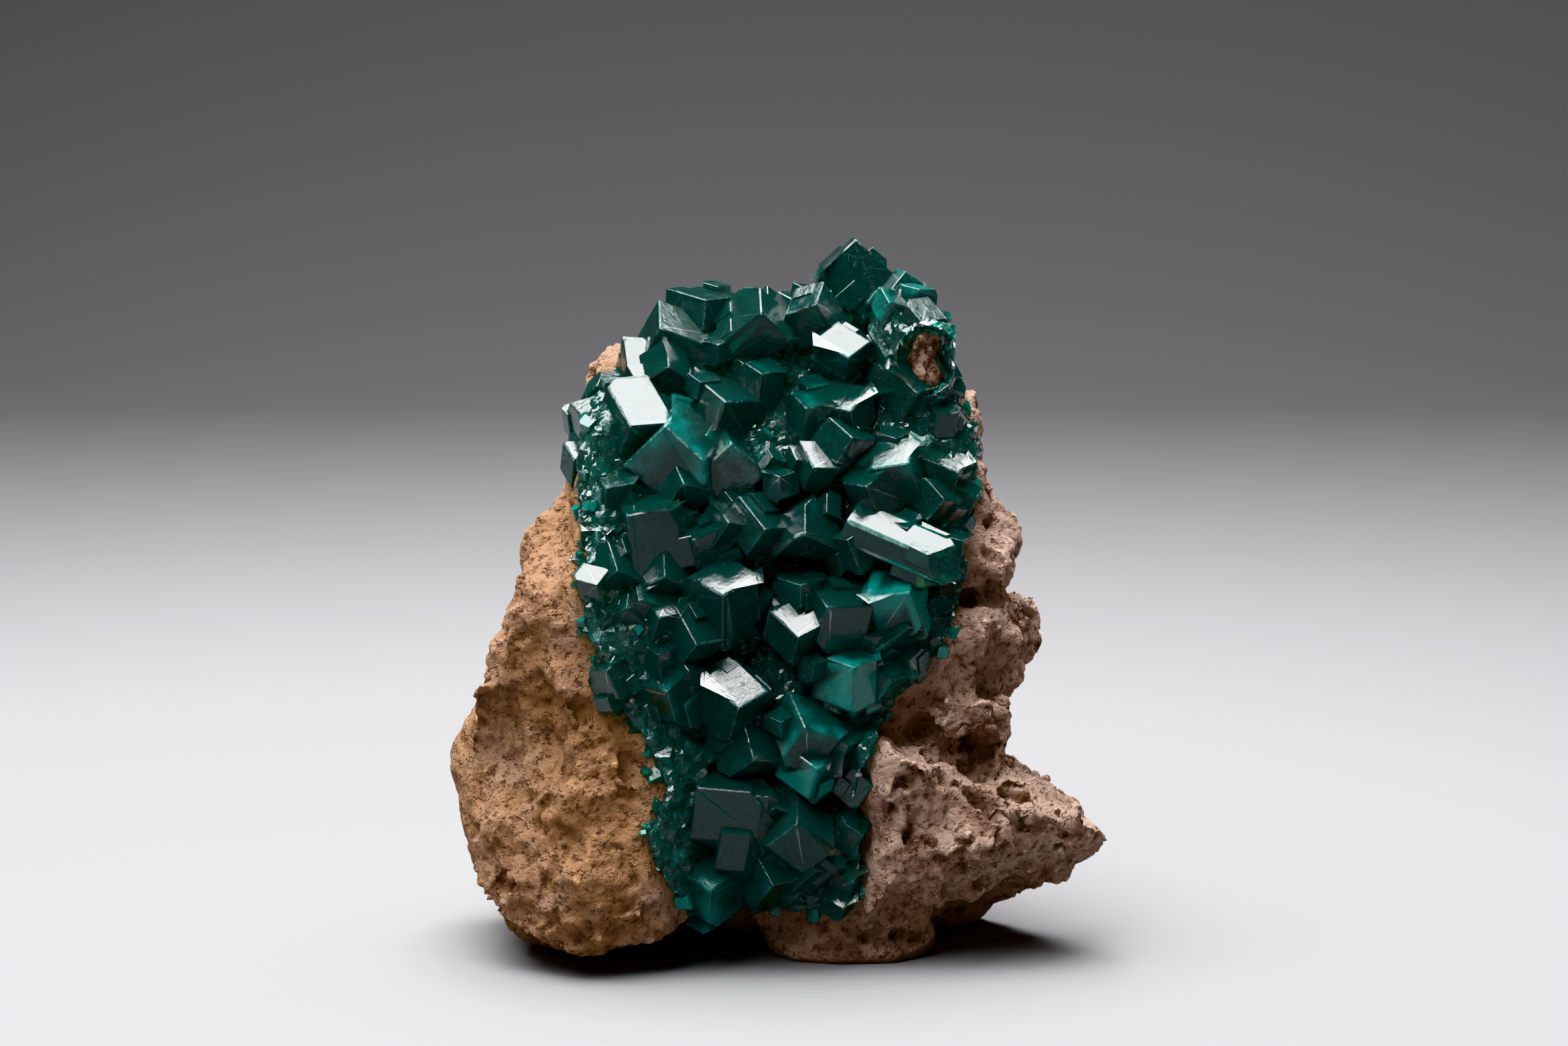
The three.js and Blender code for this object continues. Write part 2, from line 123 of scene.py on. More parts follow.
# The crystals that stand out, from the top edge down.
CRYSTALS = [
    # the top edge
    Crystal(8, 1, 75, 8.4, 0.05, 1.6, 60),
    Crystal(-3, -6.5, 68, 8.4, 0.05, 0.45, 60),
    Crystal(-8.5, -2, 69.5, 6.6, 0, 0.6, 5),
    Crystal(-12.5, -5, 66, 9, -0.3, 0.5, 40),
    Crystal(-12.5, -7.5, 62.5, 6, 0.1, 0.2, 60),
    Crystal(-16.5, -5, 62.5, 6, -0.5, 0.1, 30),
    Crystal(-18.5, -4, 60.5, 4.8, -0.4, 0.5, 10),
    Crystal(-2.5, -8, 61.5, 5.4, 0, 0.3, 10),
    Crystal(1.5, -2.5, 69.2, 6, 0, 0.7, 20),
    Crystal(3.5, -5.5, 68.5, 6.6, 0.1, 0.4, 80),
    Crystal(6.5, -7.5, 63, 6.6, 0.1, -0.05, 0),
    # the stalk at the right of the top
    Crystal(11, -6, 69.5, 4.6, -0.2, 0.5, 30, 0.6),
    Crystal(14.5, -5, 70.5, 4.4, 0.3, 0.7, 10, 0.6),
    Crystal(12.5, -1, 72, 4.6, 0.2, 1.5, 50, 0.6),
    Crystal(10.5, -6.5, 64, 6, -0.3, 0.1, 15),
    Crystal(17.2, -3, 66.5, 4.6, 0.6, 0.3, 0, 0.5),
    Crystal(13.5, -9, 59.5, 7.2, 0.2, 0, 20),
    Crystal(17.5, -6, 60.5, 6, 0.5, 0, 45),
    Crystal(20, -4, 55.5, 6.6, 0.9, 0.3, 20, 0.6),
    # the upper half
    Crystal(-21.5, -7, 57, 6.6, -0.5, 0.3, 0),
    Crystal(-16, -13, 57.5, 8.4, -0.1, 0.1, 25),
    Crystal(-21.5, -10, 53, 6, -0.35, 0.3, 15),
    Crystal(-13, -14, 57, 10.2, -0.3, 0.9, 60, 0.6),
    Crystal(-5.3, -12, 55.5, 9, 0.2, 0.9, 60, 0.5),
    Crystal(-5.5, -10, 59, 7.8, 0.1, 0.35, 20),
    Crystal(2, -10, 58, 7.2, -0.3, 0.3, 10, 0.4),
    Crystal(6.5, -10.5, 58.5, 7.2, 0.15, 0.2, -15),
    Crystal(7.5, -12.5, 55.5, 6, 0.4, 0.35, 30),
    Crystal(-0.5, -14, 51.5, 3.8, 0, 0.4, 0),
    Crystal(3, -13.5, 53, 5.4, -0.1, 0.1, 30),
    Crystal(9, -14.5, 51, 7.2, -0.2, 0.2, -20),
    Crystal(13, -13.5, 52.5, 7.8, 0.35, 0.35, -30, 0.6),
    Crystal(18, -10, 52, 6, 0.6, 0.1, 0),
    Crystal(17, -12.5, 49, 5.4, 0.5, 0.2, 35),
    Crystal(20, -9, 48.5, 5.4, 0.8, 0.1, 10),
    Crystal(-18.5, -14.5, 51, 5.4, -0.3, 0.3, 10),
    Crystal(-10, -15.5, 51, 5, 0.1, 0.2, 40),
    # the middle
    Crystal(-16.5, -17, 47.5, 9, -0.7, 0.5, 0),
    Crystal(-21, -15, 46.5, 4.8, -0.6, 0.2, 20),
    Crystal(-9, -16.5, 45.5, 6, -0.3, 0.2, 0),
    Crystal(-6, -16, 47, 5.4, 0.2, 0.3, 35),
    Crystal(-2, -16, 47, 6.6, 0.3, 0.1, 30),
    Crystal(2.5, -16, 45.5, 7.2, 0, -0.05, 60),
    Crystal(6.5, -15.5, 45, 5, -0.3, 0.35, -20),
    Crystal(18.5, -15.5, 41.8, 5, 3.5, -1.4, 55, 0.3, SLENDER),
    Crystal(13, -15, 46.5, 4, 0.2, 0.2, 0),
    Crystal(-20.5, -16.5, 42.5, 4, -0.2, 0.35, 0),
    Crystal(-17, -18.5, 43, 5.4, 0.2, 0.2, 50),
    Crystal(-12, -18, 41.5, 5.4, 0.1, 0, 60),
    Crystal(-6.5, -19.5, 39.5, 9, 0.05, 0.15, 0, 0.1),
    Crystal(1.5, -16, 41, 4.8, 0, 0.5, 0),
    Crystal(5, -17.5, 38.5, 7.8, -0.2, 0.35, 20),
    Crystal(13, -17, 39.5, 7.2, 0.35, 0.25, -30, 1),
    Crystal(-18.5, -18.5, 38.5, 5, -0.1, 0.3, 15),
    Crystal(-16, -19, 38.5, 4.4, 0.1, 0.3, 70),
    Crystal(-13, -19, 37.5, 4.8, 0, 0.1, 20),
    Crystal(-9, -19.5, 35.5, 6.6, 0.1, -0.1, 30),
    Crystal(2, -18, 35.5, 7.2, 0.05, -0.05, 10),
    Crystal(12.5, -15.5, 36, 7.2, 0.4, 0, 45, 0.5),
    # the lower half
    Crystal(-17.5, -19, 33.5, 6, -0.2, 0.3, 75, 0.9),
    Crystal(-12.5, -19, 34, 4.8, 0, 0.35, 0),
    Crystal(7, -18, 32, 6.6, 0.1, 0.4, 0, 0.8),
    Crystal(11, -15.5, 31, 6.6, 0.4, 0, 20, 0.5),
    Crystal(-11.5, -20, 30.5, 7.2, 0, 0.2, -15, 0.5),
    Crystal(-5, -20, 28, 7.8, 0.1, -0.1, 10, 0.1),
    Crystal(2.2, -19.5, 27, 7.8, 0, 0.4, 40, 0.5),
    Crystal(7, -17.5, 24, 5.4, 0.4, 0.1, 15),
    Crystal(-15, -17.5, 26.5, 4.8, -0.4, 0.1, 0),
    Crystal(-3, -19, 23.5, 7.8, 0.1, -0.1, 45),
    Crystal(4, -19, 22, 7.2, 0.25, 0.1, 10, 0.9),
    Crystal(9, -16.5, 19.5, 4.6, 0.6, 0.1, 25),
    # the foot of the crust
    Crystal(-11.5, -18, 20.5, 5.4, -0.3, 0.1, 20),
    Crystal(-8.5, -19.5, 20, 8.4, -0.75, 0.75, 15, 0.1),
    Crystal(-1.5, -18.5, 17.5, 4, 0, 0.2, 30),
    Crystal(1.6, -20, 17, 8.4, 0, 0.5, 60),
    Crystal(-16, -18.5, 15.5, 4.8, -0.8, 0.2, 20),
    Crystal(-12.5, -18.5, 16, 6, -0.4, 0.3, 0),
    Crystal(-12, -17.5, 11.5, 5, -0.3, 0.1, 35),
    Crystal(8.5, -16.5, 14.5, 4.6, 0.6, 0, 10),
    Crystal(3, -18.5, 11, 5.2, 0.2, 0, 40),
    Crystal(7, -17, 10, 5.2, 0.4, 0, 0, 0.5),
    Crystal(-7, -20, 9.5, 7.8, 0.1, 0.1, 0, 0.6),
    Crystal(-1.5, -19, 9.5, 6, 0.1, -0.1, 30),
]

# Little crystals that catch the light between the large ones.
GLINTS = [
    Crystal(-8.5, -8, 61, 3.6, 0, 0.4, 15),
    Crystal(-7, -6, 64.5, 3.2, 0, 0.4, 0),
    Crystal(11.5, -10, 55.5, 3.6, 0.1, 0.4, 0),
    Crystal(-1, -12.5, 53.5, 2.8, 0.1, 0.4, 40),
    Crystal(-10.5, -15.5, 47.5, 3.2, 0, 0.4, 0),
    Crystal(18.5, -12, 45, 3.6, 0.6, 0.4, 0),
    Crystal(-9.5, -18.5, 32, 3.6, 0.1, 0.3, 30),
    Crystal(3, -17, 32.5, 3.2, 0, 0.3, 10),
    Crystal(-0.5, -18.5, 27, 3.2, 0, 0.3, 0),
    Crystal(-9.5, -18, 13.5, 3.2, 0, 0.2, 0),
    Crystal(-3, -18, 13.5, 3.6, 0, 0.4, 30),
    Crystal(6, -17, 7, 3.6, 0.2, -0.1, 0),
]

# Steps whose multiples spread spots evenly over a box.
STEP_ACROSS = 0.7548777
STEP_UP = 0.569840

# Crystals spread evenly between the large ones: how many, their widths and how far they stand out.
BETWEEN_COUNT = 36
BETWEEN_WIDTHS = (3.8, 5.4)
BETWEEN_REACH = 3.4

# Tiny crystals on the druse and its rim: their widths, and how far a tip stands out in widths.
TINY_WIDTHS = (0.8, 2.2)
TINY_REACH = 0.35
RIM_SCATTER = 1.6  # how wide the band of tiny crystals along the rim is

# Crystals narrower than these, in millimetres, have sharp edges, or no parallel growths.
BLUNT_FROM = 2.5
PARALLEL_FROM = 4
PARALLELS = 4  # parallel growths on a large crystal

COARSE_FACET = 0.8 * MM  # facets of surfaces that only guide others
DRUSE_FACET = 0.5 * MM

# The paper sweep, in metres: its width, its near and far ends, its height and the radius of its bend.
PAPER_WIDTH = 4
PAPER_NEAR = -1.2
PAPER_FAR = 0.9
PAPER_HEIGHT = 1.6
PAPER_BEND = 0.35


class RockLook(bpy.types.PropertyGroup):
    """Sizes and colours of the matrix rock."""

    facet: FloatProperty(
        name="Facet",
        description="Edge length of the rock's finest facets",
        default=0.46 * MM,
        precision=5,
        subtype="DISTANCE",
    )
    lump_depth: FloatProperty(
        name="Lumps",
        description="How far broad angular lumps stand out",
        default=1.8 * MM,
        precision=5,
        subtype="DISTANCE",
    )
    block_depth: FloatProperty(
        name="Blocks",
        description="How far angular blocks stand out",
        default=0.7 * MM,
        precision=5,
        subtype="DISTANCE",
    )
    vug_depth: FloatProperty(
        name="Vugs",
        description="How deep the pits dissolved out of the rock are",
        default=1.7 * MM,
        precision=5,
        subtype="DISTANCE",
    )
    crumb_depth: FloatProperty(
        name="Crumbs",
        description="How far crumbs stand out",
        default=0.4 * MM,
        precision=5,
        subtype="DISTANCE",
    )
    pore_depth: FloatProperty(
        name="Pores",
        description="How deep the small pores are",
        default=0.3 * MM,
        precision=5,
        subtype="DISTANCE",
    )
    grain_depth: FloatProperty(
        name="Grain",
        description="How far single grains stand out",
        default=0.25 * MM,
        precision=5,
        subtype="DISTANCE",
    )
    pale: FloatVectorProperty(
        name="Pale stone",
        description="Fresh broken carbonate",
        default=(0.80, 0.60, 0.48),
        subtype="COLOR",
    )
    pink: FloatVectorProperty(
        name="Pink stone",
        description="The rock's common colour",
        default=(0.58, 0.38, 0.29),
        subtype="COLOR",
    )
    ochre: FloatVectorProperty(
        name="Ochre stain",
        description="Iron stain on the weathered side",
        default=(0.50, 0.26, 0.10),
        subtype="COLOR",
    )
    # The umber colours the pits and blotches, and is also painted as shade into the rock's hollows.
    umber: FloatVectorProperty(
        name="Umber",
        description="Dirt in the pits",
        default=(0.10, 0.055, 0.04),
        subtype="COLOR",
    )


class CrustLook(bpy.types.PropertyGroup):
    """Sizes and colours of the dioptase crust."""

    druse_thickness: FloatProperty(
        name="Druse",
        description="Thickness of the fine druse between the crystals",
        default=1.4 * MM,
        precision=5,
        subtype="DISTANCE",
    )
    bury: FloatProperty(
        name="Bury",
        description="How deep the crust's roots go into the rock",
        default=1.6 * MM,
        precision=5,
        subtype="DISTANCE",
    )
    edge: FloatProperty(
        name="Edge",
        description="Width of a crystal's blunted edges as a share of its half width",
        default=0.032,
    )
    druse_crystals: IntProperty(
        name="Druse crystals",
        description="Number of tiny crystals spread over the druse",
        default=280,
    )
    rim_crystals: IntProperty(
        name="Rim crystals",
        description="Number of tiny crystals along the druse's rim",
        default=110,
    )
    deep: FloatVectorProperty(
        name="Deep green",
        description="Body colour of the dark crystals",
        default=(0.006, 0.38, 0.29),
        subtype="COLOR",
    )
    bright: FloatVectorProperty(
        name="Bright teal",
        description="Body colour of the pale crystals",
        default=(0.04, 0.92, 0.80),
        subtype="COLOR",
    )
    milk: FloatVectorProperty(
        name="Milk",
        description="Colour of the milky parts of a crystal",
        default=(0.004, 0.30, 0.25),
        subtype="COLOR",
    )
    frost: FloatVectorProperty(
        name="Frost",
        description="Chipped edges and specks",
        default=(0.05, 0.85, 0.85),
        subtype="COLOR",
    )
    absorbs: FloatVectorProperty(
        name="Absorption",
        description="Colour of light that has gone through the crystal",
        default=(0.04, 0.93, 0.91),
        subtype="COLOR",
    )
    density: FloatProperty(
        name="Density",
        description="How strongly the crystal absorbs light, for each metre",
        default=6000.0,
    )
    clarity: FloatProperty(
        name="Clarity",
        description="Share of light that goes into the crystal",
        default=0.955,
        subtype="FACTOR",
    )


class StageLook(bpy.types.PropertyGroup):
    """Floor and light."""

    floor: FloatVectorProperty(
        name="Floor",
        description="Colour of the paper sweep",
        default=(0.21, 0.21, 0.217),
        subtype="COLOR",
    )
    softbox: FloatProperty(
        name="Softbox",
        description="Power of the softbox overhead",
        default=9.0,
        subtype="POWER",
    )
    fill: FloatProperty(
        name="Fill",
        description="Power of the fill light at the front left",
        default=2.0,
        subtype="POWER",
    )
    world: FloatProperty(
        name="Room",
        description="Brightness of the dim room",
        default=0.06,
    )


def place(x, y, z):
    """A modelled point in millimetres as a point of the frame in metres."""
    return (Vector((x, y, z)) - MIDDLE) * MM


def spread(index, step):
    """The fractional part of a multiple, which spreads numbers evenly between 0 and 1."""
    return index * step % 1


def between(low, high, share):
    """The number a share of the way from low to high."""
    return low + (high - low) * share


def ease(value, low, high):
    """A smooth rise from 0 at low to 1 at high."""
    share = min(max((value - low) / (high - low), 0), 1)
    return share * share * (3 - 2 * share)


def pick(piece):
    """Make a piece the only selected and active one."""
    bpy.ops.object.select_all(action="DESELECT")
    piece.select_set(True)
    bpy.context.view_layer.objects.active = piece


def edit(piece):
    """Enter edit mode on a piece with all of it selected."""
    pick(piece)
    bpy.ops.object.mode_set(mode="EDIT")
    bpy.ops.mesh.select_all(action="SELECT")


def leave_edit():
    """Go back to object mode."""
    bpy.ops.object.mode_set(mode="OBJECT")


def modify(piece, kind, **settings):
    """Add a modifier to a piece and apply it."""
    pick(piece)
    modifier = piece.modifiers.new(kind.title(), kind)
    for name, value in settings.items():
        setattr(modifier, name, value)
    bpy.ops.object.modifier_apply(modifier=modifier.name)


def merged_copy(node, name):
    """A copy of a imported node's mesh with its loose triangles merged."""
    piece = bpy.data.objects.new(name, node.data.copy())
    bpy.context.collection.objects.link(piece)
    piece.data.materials.clear()
    edit(piece)
    bpy.ops.mesh.remove_doubles(threshold=0.002 * MM)
    leave_edit()
    return piece


def remove(*objects):
    """Delete helper objects."""
    for helper in objects:
        bpy.data.objects.remove(helper)


def dress(piece, node, material):
    """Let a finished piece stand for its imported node."""
    piece.data.materials.clear()
    piece.data.materials.append(material)
    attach(piece, "root")
    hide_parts(node)


class Value:
    """A node's output that works in Python sums, each of which adds a Math node."""

    def __init__(self, shader, socket):
        self.shader = shader
        self.socket = socket

    def math(self, operation, first, second):
        """A Math node on two values."""
        return self.shader.node("ShaderNodeMath", {"operation": operation}, {0: first, 1: second})

    def __add__(self, other):
        return self.math("ADD", self, other)

    def __sub__(self, other):
        return self.math("SUBTRACT", self, other)

    def __rsub__(self, other):
        return self.math("SUBTRACT", other, self)

    def __mul__(self, other):
        return self.math("MULTIPLY", self, other)

    __radd__ = __add__
    __rmul__ = __mul__


class Shader:
    """A material built from nodes."""

    def __init__(self, name):
        self.material = bpy.data.materials.new(name)
        self.material.use_nodes = True
        self.tree = self.material.node_tree
        self.tree.nodes.clear()

    def node(self, kind, settings=None, values=None, output=0):
        """Add a node, set it up, fill its sockets and give one of its outputs."""
        made = self.tree.nodes.new(kind)
        for name, setting in (settings or {}).items():
            setattr(made, name, setting)
        for name, value in (values or {}).items():
            if isinstance(value, Value):
                self.tree.links.new(value.socket, made.inputs[name])
            else:
                made.inputs[name].default_value = value
        return Value(self, made.outputs[output])

    def coordinates(self):
        """Places on the piece, in metres."""
        return self.node("ShaderNodeTexCoord", output="Object")

    def noise(self, where, size, detail=3.0, roughness=0.55):
        """Noise from 0 to 1 whose blotches have a size in metres."""
        values = {"Vector": where, "Scale": 1 / size, "Detail": detail, "Roughness": roughness}
        return self.node("ShaderNodeTexNoise", values=values)

    def cells(self, where, size):
        """Distance from the middle of the nearest cell."""
        values = {"Vector": where, "Scale": 1 / size}
        return self.node("ShaderNodeTexVoronoi", values=values, output="Distance")

    def attribute(self, name):
        """A number stored on the mesh."""
        return self.node("ShaderNodeAttribute", {"attribute_name": name}, output="Fac")

    def rise(self, value, low, high):
        """A smooth step from 0 at low to 1 at high."""
        values = {"Value": value, "From Min": low, "From Max": high}
        return self.node("ShaderNodeMapRange", {"interpolation_type": "SMOOTHSTEP"}, values)

    def blend(self, share, first, second):
        """Two colours mixed by a share."""
        values = {0: share, 6: colour(first), 7: colour(second)}
        return self.node("ShaderNodeMix", {"data_type": "RGBA"}, values, output=2)

    def bump(self, height, strength, distance):
        """Normals tilted by a height."""
        values = {"Strength": strength, "Distance": distance, "Height": height}
        return self.node("ShaderNodeBump", values=values)

    def principled(self, values):
        """A surface shader."""
        return self.node("ShaderNodeBsdfPrincipled", values=values)

    def finish(self, **ends):
        """Link the surface, and the volume where there is one, to the output."""
        output = self.tree.nodes.new("ShaderNodeOutputMaterial")
        for name, value in ends.items():
            self.tree.links.new(value.socket, output.inputs[name])
        return self.material


def colour(value):
    """A colour property as a socket's four numbers, or a linked value as it is."""
    return value if isinstance(value, Value) else (*value, 1.0)


def matrix_stone(look):
    """Pinkish carbonate with ochre stains, umber grime in its pits, painted shade in its hollows and pale
    grains on its crests.
    """
    shader = Shader("matrix_stone")
    where = shader.coordinates()
    hollow = shader.attribute("hollow")
    broad = shader.noise(where, 12 * MM, 3)
    mottle = shader.noise(where, 3.2 * MM, 6, 0.65)
    grain = shader.noise(where, 0.45 * MM, 4, 0.65)
    pits = shader.noise(where, 0.9 * MM, 3, 0.6)
    x = shader.node("ShaderNodeSeparateXYZ", values={0: where}, output="X")

    stone = shader.blend(shader.rise(mottle * 0.6 + grain * 0.4, 0.38, 0.6), look.pink, look.pale)
    leftness = 1 - shader.rise(x, -24 * MM, 6 * MM)
    stain = shader.rise(broad * 0.7 + mottle * 0.5 + leftness * 0.3, 0.62, 0.95)
    stained = shader.blend(stain * 0.85, stone, look.ochre)
    blotch = shader.rise(shader.noise(where, 6 * MM, 5, 0.6), 0.52, 0.68)
    hollow_shade = 1 - shader.rise(hollow, 0.2, 0.46)
    # Painted shade: the stone is darkened in its hollows, where shade falls.
    pitted = 1 - shader.rise(pits, 0.28, 0.42)
    # Umber in the pits and blotches, together with the painted shade of the hollows.
    dirt_and_shade = hollow_shade * 0.6 + pitted * 0.45 + blotch * 0.3
    dirty_and_shaded = shader.blend(dirt_and_shade, stained, look.umber)
    worn = shader.blend(shader.rise(hollow, 0.56, 0.75) * 0.6, dirty_and_shaded, look.pale)

    ends = {0: where, 1: place(*BARE_PATCH[0])}
    from_patch = shader.node("ShaderNodeVectorMath", {"operation": "DISTANCE"}, ends, output="Value")
    rust = (1 - shader.rise(from_patch, 4 * MM, 7 * MM)) * (1 - shader.rise(pits, 0.4, 0.6)) * 0.8
    rusty = shader.blend(rust, worn, look.umber)

    height = grain * 0.7 + shader.rise(pits, 0.3, 0.5) * 0.5
    bump = shader.bump(height, 1.0, 0.55 * MM)
    rough = 0.8 + grain * 0.2
    values = {"Base Color": rusty, "Roughness": rough, "Normal": bump, "Specular IOR Level": 0.2}
    return shader.finish(Surface=shader.principled(values))


def dioptase(look):
    """Emerald green crystal that absorbs red, with milky parts, frosted edges and hatched faces."""
    shader = Shader("dioptase")
    where = shader.coordinates()
    growth = shader.node("ShaderNodeUVMap", {"uv_map": "growth"})
    tone = shader.attribute("tone")
    worn = shader.attribute("worn")
    cloud = shader.noise(where, 2.4 * MM, 4, 0.6)
    smudge = shader.noise(where, 0.9 * MM, 4, 0.6)
    chips = shader.noise(where, 0.5 * MM, 5, 0.7)
    haze = shader.noise(where, 5 * MM, 2)

    body = shader.blend(shader.rise(tone * 0.75 + cloud * 0.5, 0.3, 0.95), look.deep, look.bright)
    frost = shader.rise(worn * 0.5 + chips * 0.8 + cloud * 0.8, 1.2, 1.42)
    specks = 1 - shader.rise(shader.cells(where, 0.3 * MM), 0.1, 0.2)
    sparks = specks * shader.rise(chips + cloud, 1.05, 1.2)
    pale = shader.blend(frost + sparks, body, look.frost)

    along = shader.node("ShaderNodeMapping", values={"Vector": growth, "Scale": (0.3, 2.0, 1.0)})
    across = shader.node("ShaderNodeMapping", values={"Vector": growth, "Scale": (1.7, 0.25, 1.0)})
    hatch = shader.noise(along, 1.0, 4, 0.65) + shader.noise(across, 1.0, 4, 0.65) * 0.7
    terraces = shader.node("ShaderNodeMath", {"operation": "SNAP"}, {0: hatch, 1: 0.14})
    height = terraces + smudge * 0.45 + chips * 0.2 + frost * chips * 0.6
    bump = shader.bump(height, 0.6, 0.16 * MM)
    dull = shader.rise(haze, 0.4, 0.65) * 0.07 + shader.rise(smudge, 0.5, 0.8) * 0.1
    rough = 0.03 + dull + frost * 0.3

    gloss = {"Roughness": rough, "Normal": bump, "IOR": REFRACTION, "Specular IOR Level": 0.3}
    clear = shader.principled({"Base Color": pale, "Transmission Weight": look.clarity, **gloss})
    milky = shader.principled({"Base Color": colour(look.milk), **gloss})
    milkiness = shader.rise(tone * 0.6 + cloud * 0.8, 0.57, 1.05) * 0.4
    crystal = shader.node("ShaderNodeMixShader", values={0: milkiness, 1: clear, 2: milky})
    inside = {"Color": colour(look.absorbs), "Density": look.density}
    absorption = shader.node("ShaderNodeVolumeAbsorption", values=inside)
    return shader.finish(Surface=crystal, Volume=absorption)


def relief(name, kind, size, stops=None, **settings):
    """A texture that shapes a surface, with blotches of a size in metres and perhaps a ramp's stops."""
    texture = bpy.data.textures.new(name, kind)
    texture.noise_scale = size
    for key, value in settings.items():
        setattr(texture, key, value)
    if stops:
        texture.use_color_ramp = True
        for element, (position, level) in zip(texture.color_ramp.elements, stops):
            element.position = position
            element.color = (level, level, level, 1)
    return texture


def surface(mesh):
    """A mesh's surface, ready for rays and nearest points."""
    points = [vertex.co for vertex in mesh.vertices]
    return BVHTree.FromPolygons(points, [face.vertices for face in mesh.polygons])


def from_front(ground, x, z):
    """Where a ray from the front meets a surface, and which way the surface faces there."""
    start = place(x, 0, z)
    start.y = FRONT
    return ground.ray_cast(start, Vector((0, 1, 0)))[:2]


def weigh_free_surface(rock):
    """Mark where weather reaches: less under the crust and at the sides, and not on the feet."""
    crust = surface(crust_node.data)
    low, high = cad_box
    free = rock.vertex_groups.new(name="free")
    vuggy = rock.vertex_groups.new(name="vuggy")
    for vertex in rock.data.vertices:
        away = crust.find_nearest(vertex.co)[3]
        side = min(vertex.co.x - low.x, high.x - vertex.co.x, high.y - vertex.co.y)
        weight = ease(vertex.co.z, 0.2 * MM, 2.5 * MM)
        weight *= between(0.2, 1, ease(away, 0.8 * MM, 3 * MM)) * between(0.3, 1, ease(side, 0, 5 * MM))
        free.add([vertex.index], weight, "REPLACE")
        share = between(0.35, 1, ease(vertex.co.x, -5 * MM, 12 * MM))
        vuggy.add([vertex.index], weight * share, "REPLACE")


def weathered_rock(look):
    """The rock with its facets rounded off and lumps, vugs, crumbs, pores and grain worn into it."""
    rock = merged_copy(rock_node, "matrix_rock_weathered")
    modify(rock, "REMESH", mode="VOXEL", voxel_size=look.facet)
    modify(rock, "SMOOTH", factor=0.5, iterations=4)
    weigh_free_surface(rock)
    blocky = {"distance_metric": "MANHATTAN"}
    vugs = [(0.22, 0), (0.38, 1)]
    pores = [(0.3, 0), (0.46, 1)]
    layers = [
        (relief("lumps", "VORONOI", 8 * MM, **blocky), -look.lump_depth, 0.5, "free"),
        (relief("blocks", "VORONOI", 3.4 * MM, **blocky), -look.block_depth, 0.5, "free"),
        (relief("vugs", "CLOUDS", 2.4 * MM, vugs, noise_depth=1), look.vug_depth, 1, "vuggy"),
        (relief("crumbs", "VORONOI", 1.4 * MM, **blocky), -look.crumb_depth, 0.5, "free"),
        (relief("pores", "CLOUDS", 0.9 * MM, pores, noise_depth=1), look.pore_depth, 1, "free"),
        (relief("grains", "CLOUDS", 0.5 * MM, noise_depth=1), look.grain_depth, 0.5, "free"),
    ]
    for texture, depth, level, group in layers:
        modify(
            rock,
            "DISPLACE",
            texture=texture,
            texture_coords="LOCAL",
            strength=depth,
            mid_level=level,
            vertex_group=group,
        )
    # The feet stay flat on the floor.
    for vertex in rock.data.vertices:
        if vertex.co.z < 0.1 * MM:
            vertex.co.z = 0
    rock.vertex_groups.clear()
    pick(rock)
    # The hollow attribute comes from a cavity bake, high on crests and low in hollows; the stone uses its
    # low end as painted shade in the hollows.
    bpy.ops.geometry.color_attribute_add(
        name="hollow", domain="POINT", data_type="BYTE_COLOR", color=(1, 1, 1, 1)
    )
    bpy.ops.paint.vertex_color_dirt(blur_strength=1, blur_iterations=1, clean_angle=math.pi, dirt_angle=0)
    bpy.ops.object.shade_smooth()
    return rock


def rim_curve(steps):
    """Points in millimetres along the druse's outline, some for each of its spans."""
    points = [Vector(point) for point in OUTLINE]
    count = len(points)
    curve = []
    for i in range(count):
        a, b, c, d = (points[(i + k) % count] for k in (-1, 0, 1, 2))
        for step in range(steps):
            t = step / steps
            square = 2 * a - 5 * b + 4 * c - d
            cube = 3 * b - a - 3 * c + d
            curve.append((2 * b + (c - a) * t + square * t**2 + cube * t**3) / 2)
    return curve


def even_spots(curve, first, count):
    """Spots in millimetres that are spread evenly over a curve's box."""
    left, right = min(p.x for p in curve), max(p.x for p in curve)
    low, high = min(p.y for p in curve), max(p.y for p in curve)
    for i in range(first, first + count):
        yield between(left, right, spread(i, STEP_ACROSS)), between(low, high, spread(i, STEP_UP))


def outline_sweep():
    """The druse's outline swept from the front to behind the top edge."""
    curve = rim_curve(3)
    bpy.ops.mesh.primitive_circle_add(vertices=len(curve), fill_type="NGON")
    sweep = bpy.context.object
    for vertex, (x, z) in zip(sweep.data.vertices, curve):
        vertex.co = place(x, 9, z)
    edit(sweep)
    bpy.ops.mesh.extrude_region_move(TRANSFORM_OT_translate={"value": (0, 2 * FRONT, 0)})
    bpy.ops.mesh.select_all(action="SELECT")
    bpy.ops.mesh.normals_make_consistent(inside=False)
    leave_edit()
    return sweep


def bare_patch():
    """A rounded block over the patch of rock that stays bare."""
    middle, half = BARE_PATCH
    size = Vector(half) * MM
    bpy.ops.mesh.primitive_ico_sphere_add(subdivisions=3, radius=1, location=place(*middle), scale=size)
    bpy.ops.object.transform_apply(location=True, rotation=True, scale=True)
    return bpy.context.object


def on_bare_patch(point):
    """Whether a point lies on the patch of rock that stays bare."""
    middle, half = BARE_PATCH
    away = (point - place(*middle)) / MM
    return sum((a / b) ** 2 for a, b in zip(away, half)) < 1.2


def grown_rock(name, distance, facet):
    """The rock's surface moved outwards by a distance and evened out."""
    rock = merged_copy(rock_node, name)
    modify(rock, "DISPLACE", strength=distance, mid_level=0)
    modify(rock, "REMESH", mode="VOXEL", voxel_size=facet)
    return rock


